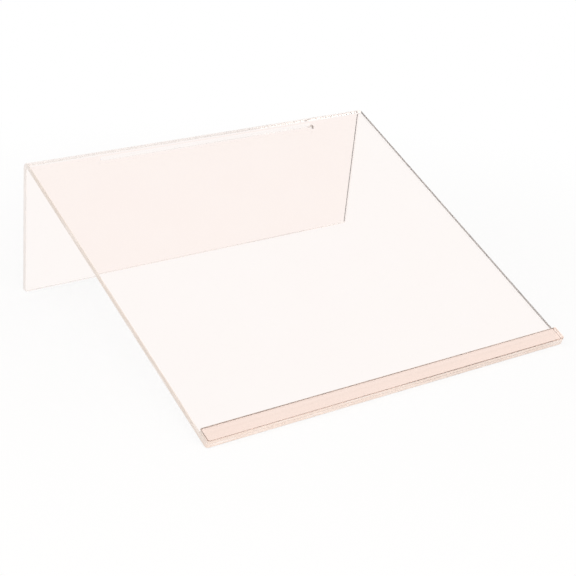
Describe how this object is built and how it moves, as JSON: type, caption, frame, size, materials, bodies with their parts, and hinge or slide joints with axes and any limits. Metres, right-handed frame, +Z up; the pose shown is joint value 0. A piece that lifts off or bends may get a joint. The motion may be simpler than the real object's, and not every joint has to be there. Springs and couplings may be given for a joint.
{
  "type": "writing slope",
  "caption": "Clear acrylic writing slope for a desk: a bent sheet forms the sloping panel and rear leg, with a routed pencil groove and a bonded front book ledge.",
  "frame": {"origin": "centre of the footprint, on the desk", "axes": "+X along the width, -Y towards the writer, +Z up"},
  "size_m": [0.34, 0.3132, 0.1209],
  "materials": {
    "acrylic_sheet": "clear cast acrylic, polished faces and edges",
    "acrylic_ledge": "clear cast acrylic, polished faces and edges"
  },
  "bodies": {
    "root": {"slope_sheet": "acrylic_sheet", "front_ledge": "acrylic_ledge"}
  },
  "joints": []
}
